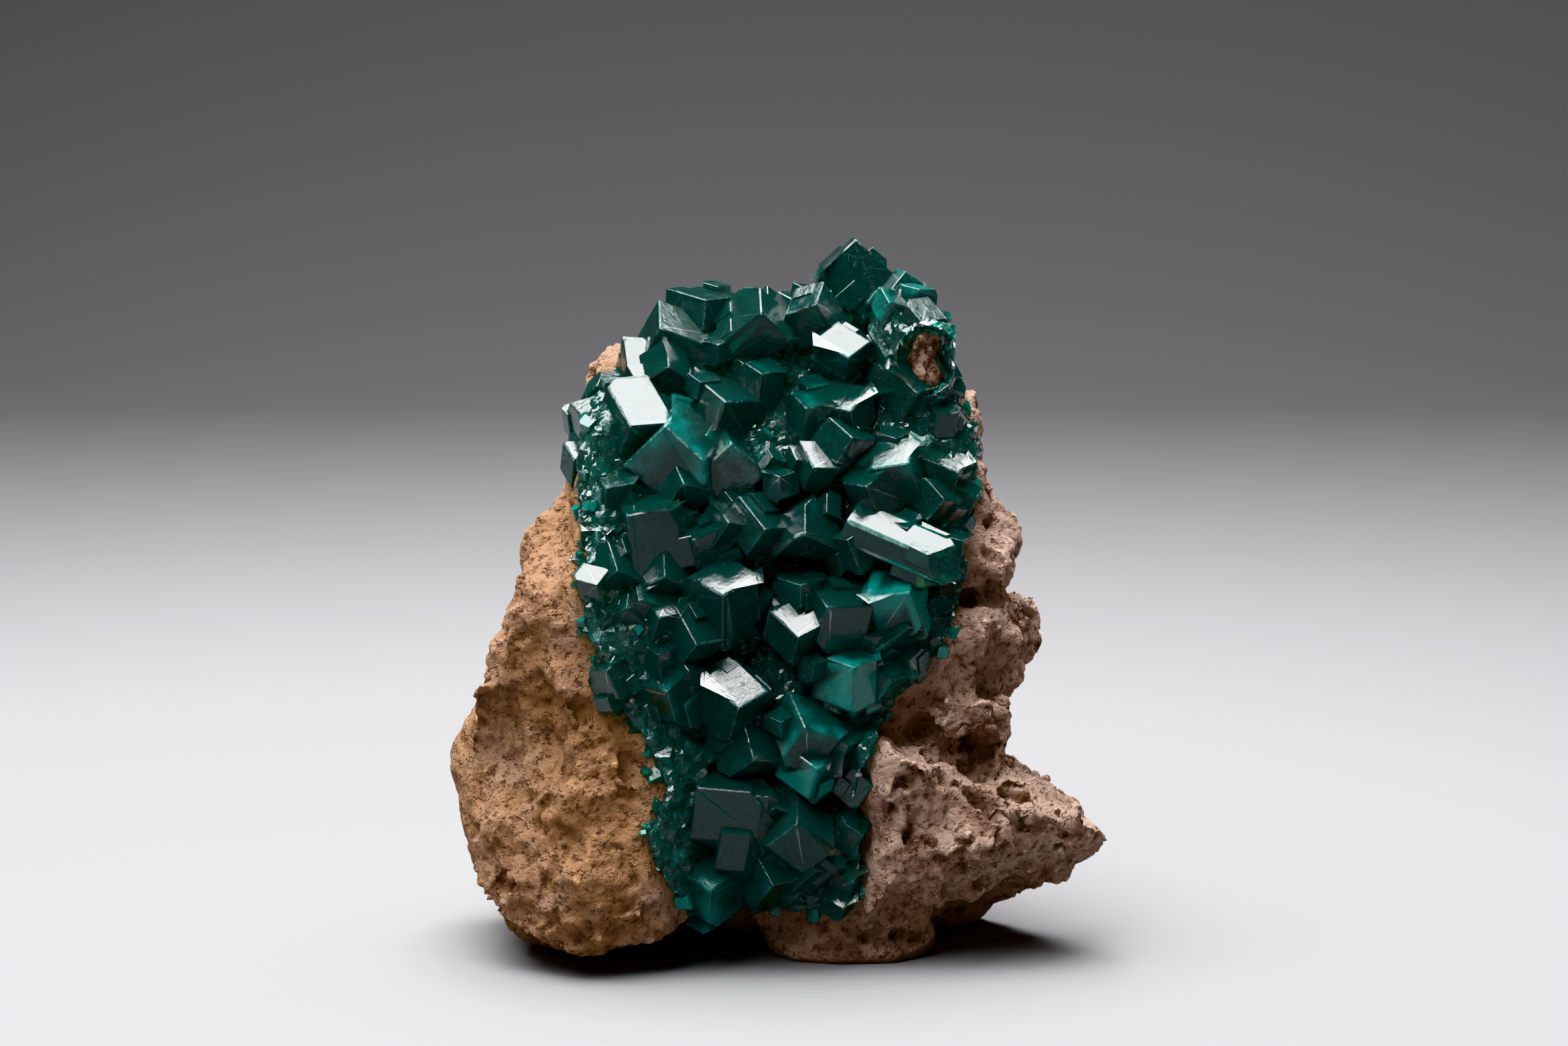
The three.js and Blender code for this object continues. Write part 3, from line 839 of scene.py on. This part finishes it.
def druse_layer(look):
    """The fine druse under the crystals."""
    layer = grown_rock("dioptase_crystals", look.druse_thickness, COARSE_FACET)
    sweep = outline_sweep()
    patch = bare_patch()
    modify(layer, "BOOLEAN", operation="INTERSECT", solver="MANIFOLD", object=sweep)
    modify(layer, "BOOLEAN", operation="DIFFERENCE", solver="MANIFOLD", object=patch)
    remove(sweep, patch)
    modify(layer, "REMESH", mode="VOXEL", voxel_size=DRUSE_FACET)
    modify(layer, "SMOOTH", factor=0.5, iterations=4)
    sugar = relief("sugar", "VORONOI", 1.5 * MM, distance_metric="MANHATTAN")
    modify(layer, "DISPLACE", texture=sugar, texture_coords="LOCAL", strength=-0.7 * MM, mid_level=0.5)
    for name, value in (("tone", 0.35), ("worn", 0.7)):
        attribute = layer.data.attributes.new(name, "FLOAT", "POINT")
        attribute.data.foreach_set("value", [value] * len(layer.data.vertices))
    layer.data.uv_layers.new(name="growth")
    return layer


def crystal_template(habit, length, edge, detail):
    """A crystal one unit in half width, cut from a block, with its tip at the origin and its axis up.

    A plain one has sharp edges, a blunt one bevelled edges, and a full one also has its wear marked.
    """
    size = 2 * length
    bpy.ops.mesh.primitive_cube_add(size=1, location=(0, 0, -size / 2), scale=(5, 5, size))
    bpy.ops.object.transform_apply(location=True, rotation=True, scale=True)
    template = bpy.context.object
    for k in range(6):
        angle = math.radians(30 + 60 * k)
        cut(template, Vector((math.cos(angle), math.sin(angle), 0)), PRISM_SPREAD[(k + habit) % 6])
    for k in range(3):
        angle = math.radians(120 * k)
        slant = math.sin(RHOMB_TILT)
        normal = Vector((slant * math.cos(angle), slant * math.sin(angle), math.cos(RHOMB_TILT)))
        cut(template, normal, RHOMB_SPREAD[(k + habit) % 3])
    worn = template.data.attributes.new("worn", "FLOAT", "POINT")
    worn.data.foreach_set("value", [0.5] * len(worn.data))
    if detail != "plain":
        edit(template)
        bpy.ops.mesh.bevel(offset=edge, segments=1, affect="EDGES")
        leave_edit()
    if detail == "full":
        wear(template)
    map_growth(template.data)
    template.data.attributes.new("tone", "FLOAT", "POINT")
    return template


def cut(template, normal, distance):
    """Cut away what lies outside a plane and close the cut."""
    edit(template)
    bpy.ops.mesh.bisect(plane_co=normal * distance, plane_no=normal, use_fill=True, clear_outer=True)
    leave_edit()


def wear(template):
    """Mark the surface as worn along the edges and fresh within each face."""
    edit(template)
    bpy.ops.mesh.select_mode(type="FACE")
    leave_edit()
    for face in template.data.polygons:
        face.select = face.area > 0.1
    bpy.ops.object.mode_set(mode="EDIT")
    bpy.ops.mesh.inset(thickness=0.13, use_individual=True)
    leave_edit()
    inner = {i for face in template.data.polygons if face.select for i in face.vertices}
    for i, worn in enumerate(template.data.attributes["worn"].data):
        worn.value = 0 if i in inner else 1


def map_growth(mesh):
    """Lay each face flat on the growth map, with the crystal's axis upwards."""
    layer = mesh.uv_layers[0] if mesh.uv_layers else mesh.uv_layers.new()
    layer.name = "growth"
    for face in mesh.polygons:
        along = Vector((0, 0, 1)) - face.normal * face.normal.z
        along = along.normalized() if along.length > 0.01 else Vector((1, 0, 0))
        across = along.cross(face.normal)
        for loop in face.loop_indices:
            point = mesh.vertices[mesh.loops[loop].vertex_index].co
            layer.data[loop].uv = (point.dot(across), point.dot(along))


def crystal_frame(crystal):
    """A crystal's matrix: its origin is the tip, Z the axis, and X points at the first tip face."""
    axis = Vector((crystal.right, -1, crystal.up)).normalized()
    up = Vector((0, 0, 1)) - axis * axis.z
    first = Matrix.Rotation(-math.radians(crystal.turn), 3, axis) @ up.normalized()
    turned = Matrix((first, axis.cross(first), axis)).transposed().to_4x4()
    return Matrix.Translation(place(crystal.x, crystal.y, crystal.z)) @ turned


class Garden:
    """A collection of crystals that wait to be joined."""

    def __init__(self, edge):
        self.edge = edge
        self.templates = {}
        self.collection = bpy.data.collections.new("crystals")
        bpy.context.scene.collection.children.link(self.collection)

    def template(self, habit, length, detail):
        """A crystal to copy, which is made on first use."""
        key = habit, length, detail
        if key not in self.templates:
            self.templates[key] = crystal_template(habit, length, self.edge, detail)
        return self.templates[key]

    def grow(self, index, stance, half, tone, length=STUBBY, detail="full"):
        """Add a copy of a template at a stance, with its own growth map and tone."""
        template = self.template(index % 6, length, detail)
        grown = template.copy()
        grown.data = template.data.copy()
        self.collection.objects.link(grown)
        grown.matrix_world = stance @ Matrix.Scale(half * MM, 4)
        growth = grown.data.uv_layers["growth"]
        shift = Vector((index * 3.7, index * 2.3))
        for corner in growth.data:
            corner.uv = corner.uv * half + shift
        values = [tone] * len(grown.data.vertices)
        grown.data.attributes["tone"].data.foreach_set("value", values)

    def plant(self, index, crystal):
        """Add a crystal and, on a large one, the smaller ones grown parallel to its flanks."""
        stance = crystal_frame(crystal)
        half = crystal.width / 2
        detail = "full" if crystal.width > BLUNT_FROM else "plain"
        self.grow(index, stance, half, crystal.tone, crystal.length, detail)
        if crystal.width < PARALLEL_FROM:
            return
        for k in range(PARALLELS):
            pace = index * PARALLELS + k
            aside = half * between(0.45, 0.95, spread(pace, 0.37))
            angle = 2 * math.pi * spread(pace, 0.618)
            back = aside * between(0.75, 1.5, spread(pace, 0.53))
            foot = Vector((aside * math.cos(angle), aside * math.sin(angle), -back)) * MM
            tilt = Matrix.Rotation(math.radians(between(-5, 5, spread(pace, 0.83))), 4, "X")
            size = half * between(0.35, 0.7, spread(pace, 0.29))
            self.grow(pace, stance @ Matrix.Translation(foot) @ tilt, size, crystal.tone, detail="blunt")

    def clear(self):
        """Delete the crystals and their templates."""
        remove(*self.collection.objects, *self.templates.values())
        bpy.data.collections.remove(self.collection)


def crystals_between(rock, druse):
    """Crystals spread evenly between the large ones, standing on the rock."""
    for i, (x, z) in enumerate(even_spots(rim_curve(3), 1, BETWEEN_COUNT)):
        lean = (spread(i, 0.382) - 0.5, 0.8 * spread(i, 0.618) - 0.2)
        foot = from_front(rock, x, z)[0]
        if not foot or not from_front(druse, x, z)[0]:
            continue
        axis = Vector((lean[0], -1, lean[1])).normalized()
        tip = foot / MM + MIDDLE + axis * BETWEEN_REACH
        width = between(*BETWEEN_WIDTHS, spread(i, 0.29))
        yield Crystal(*tip, width, *lean, 360 * spread(i, 0.47))


def tiny_crystals(rock, druse, look):
    """Tiny crystals all over the druse and along its rim."""
    curve = rim_curve(8)
    spots = list(even_spots(curve, 0, look.druse_crystals))
    half = RIM_SCATTER / 2
    for i in range(look.rim_crystals):
        x, z = curve[int(i * len(curve) / look.rim_crystals)]
        aside = RIM_SCATTER * spread(i, 0.618)
        above = RIM_SCATTER * spread(i, 0.414)
        spots.append((x + aside - half, z + above - half))
    for i, (x, z) in enumerate(spots):
        foot, facing = from_front(druse if i < look.druse_crystals else rock, x, z)
        if not foot or facing.y > -0.15 or on_bare_patch(foot):
            continue
        width = between(*TINY_WIDTHS, spread(i, 0.443) ** 2)
        lean = Vector((facing.x / -facing.y, facing.z / -facing.y))
        lean += Vector((spread(i, 0.382) - 0.5, spread(i, 0.618) - 0.4)) * 0.8
        axis = Vector((lean.x, -1, lean.y)).normalized()
        tip = foot / MM + MIDDLE + axis * width * TINY_REACH
        yield Crystal(*tip, width, *lean, 360 * spread(i, 0.47), between(0.3, 1, spread(i, 0.271)))


def largest_part(piece):
    """The largest connected part of a piece, without root ends that came out of the rock's far side."""
    edit(piece)
    bpy.ops.mesh.separate(type="LOOSE")
    leave_edit()
    parts = sorted(bpy.context.selected_objects, key=lambda part: len(part.data.vertices))
    largest = parts.pop()
    remove(*parts)
    largest.name = "dioptase_crystals"
    return largest


def grown_crust(look):
    """All crystals and the druse joined in one solid whose roots end inside the rock."""
    crust = druse_layer(look)
    rock = surface(rock_node.data)
    druse = surface(crust.data)
    standing = [*CRYSTALS, *crystals_between(rock, druse), *GLINTS, *tiny_crystals(rock, druse, look)]
    garden = Garden(look.edge)
    for index, crystal in enumerate(standing):
        garden.plant(index, crystal)
    faces = len(crust.data.polygons)
    modify(
        crust,
        "BOOLEAN",
        operation="UNION",
        solver="MANIFOLD",
        operand_type="COLLECTION",
        collection=garden.collection,
    )
    garden.clear()
    if len(crust.data.polygons) == faces:
        raise RuntimeError("the crystals did not join")
    heart = grown_rock("rock_heart", -look.bury, COARSE_FACET)
    modify(crust, "BOOLEAN", operation="DIFFERENCE", solver="MANIFOLD", object=heart)
    remove(heart)
    crust = largest_part(crust)
    pick(crust)
    bpy.ops.object.shade_flat()
    return crust


def paper_sweep(look):
    """A pale paper floor that curves up behind the specimen."""
    bpy.ops.mesh.primitive_plane_add(size=1)
    paper = bpy.context.object
    paper.name = "paper_sweep"
    for vertex in paper.data.vertices:
        end = PAPER_NEAR if vertex.co.y < 0 else PAPER_FAR
        vertex.co = Vector((vertex.co.x * PAPER_WIDTH, end, 0))
    edit(paper)
    bpy.ops.mesh.select_mode(type="EDGE")
    bpy.ops.mesh.select_all(action="DESELECT")
    leave_edit()
    for edge in paper.data.edges:
        edge.select = all(paper.data.vertices[i].co.y > 0 for i in edge.vertices)
    bpy.ops.object.mode_set(mode="EDIT")
    bpy.ops.mesh.extrude_region_move(TRANSFORM_OT_translate={"value": (0, 0, PAPER_HEIGHT)})
    leave_edit()
    for edge in paper.data.edges:
        ends = [paper.data.vertices[i].co for i in edge.vertices]
        edge.select = all(abs(end.z) < 1e-6 and end.y > 0 for end in ends)
    bpy.ops.object.mode_set(mode="EDIT")
    bpy.ops.mesh.bevel(offset=PAPER_BEND, segments=16, affect="EDGES")
    leave_edit()
    bpy.ops.object.shade_smooth()
    shader = Shader("paper")
    fibre = shader.noise(shader.coordinates(), 1.5 * MM, 4)
    tint = shader.blend(fibre * 0.15, look.floor, tuple(0.85 * c for c in look.floor))
    matt = shader.principled({"Base Color": tint, "Roughness": 0.9})
    paper.data.materials.append(shader.finish(Surface=matt))


def softbox(name, location, size, power):
    """A soft light that faces the specimen."""
    target = Vector((0, 0, 35 * MM))
    turn = (target - Vector(location)).to_track_quat("-Z", "Y").to_euler()
    bpy.ops.object.light_add(type="AREA", location=location, rotation=turn)
    light = bpy.context.object
    light.name = name
    light.data.shape = "RECTANGLE"
    light.data.size, light.data.size_y = size
    light.data.energy = power


def camera():
    """The camera at the photograph's angle: 105 mm above the floor, looking 7.4 degrees down."""
    turn = (math.radians(90 - 7.4), 0, 0)
    bpy.ops.object.camera_add(location=place(0, -461, 105), rotation=turn)
    made = bpy.context.object
    made.data.lens = 100
    made.data.sensor_width = 36
    made.data.clip_start = 0.01
    bpy.context.scene.camera = made


class SPECIMEN_OT_matrix_rock(bpy.types.Operator):
    """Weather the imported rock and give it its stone"""

    bl_idname = "specimen.matrix_rock"
    bl_label = "Matrix Rock"

    def execute(self, context):
        look = context.scene.specimen_rock
        dress(weathered_rock(look), "matrix_rock", matrix_stone(look))
        return {"FINISHED"}


class SPECIMEN_OT_dioptase_crust(bpy.types.Operator):
    """Grow the druse and its crystals as one crust"""

    bl_idname = "specimen.dioptase_crust"
    bl_label = "Dioptase Crust"

    def execute(self, context):
        look = context.scene.specimen_crust
        dress(grown_crust(look), "dioptase_crust", dioptase(look))
        return {"FINISHED"}


class SPECIMEN_OT_stage(bpy.types.Operator):
    """Set the floor, the lights, the dim room and the camera"""

    bl_idname = "specimen.stage"
    bl_label = "Stage"

    def execute(self, context):
        look = context.scene.specimen_stage
        paper_sweep(look)
        softbox("softbox_overhead", (-0.04, 0.03, 0.40), (0.5, 0.42), look.softbox)
        softbox("fill_front_left", (-0.2, -0.4, 0.45), (0.25, 0.25), look.fill)
        world = bpy.data.worlds.new("dim_room")
        world.use_nodes = True
        world.node_tree.nodes["Background"].inputs["Color"].default_value = (1, 1, 1, 1)
        world.node_tree.nodes["Background"].inputs["Strength"].default_value = look.world
        context.scene.world = world
        context.scene.view_settings.view_transform = "Khronos PBR Neutral"
        camera()
        return {"FINISHED"}


class SPECIMEN_PT_panel(bpy.types.Panel):
    """The specimen's steps in the sidebar"""

    bl_label = "Dioptase Specimen"
    bl_space_type = "VIEW_3D"
    bl_region_type = "UI"
    bl_category = "Specimen"

    def draw(self, context):
        for operator in OPERATORS:
            self.layout.operator(operator.bl_idname)


LOOKS = {"specimen_rock": RockLook, "specimen_crust": CrustLook, "specimen_stage": StageLook}
OPERATORS = (SPECIMEN_OT_matrix_rock, SPECIMEN_OT_dioptase_crust, SPECIMEN_OT_stage)
CLASSES = (*LOOKS.values(), *OPERATORS, SPECIMEN_PT_panel)


def register():
    """Add the specimen's settings, operators and panel."""
    for cls in CLASSES:
        bpy.utils.register_class(cls)
    for name, look in LOOKS.items():
        setattr(bpy.types.Scene, name, PointerProperty(type=look))


def unregister():
    """Remove what register added."""
    for name in LOOKS:
        delattr(bpy.types.Scene, name)
    for cls in reversed(CLASSES):
        bpy.utils.unregister_class(cls)


def main():
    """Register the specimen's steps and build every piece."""
    register()
    bpy.ops.specimen.matrix_rock()
    bpy.ops.specimen.dioptase_crust()
    bpy.ops.specimen.stage()


if __name__ == "__main__":
    main()
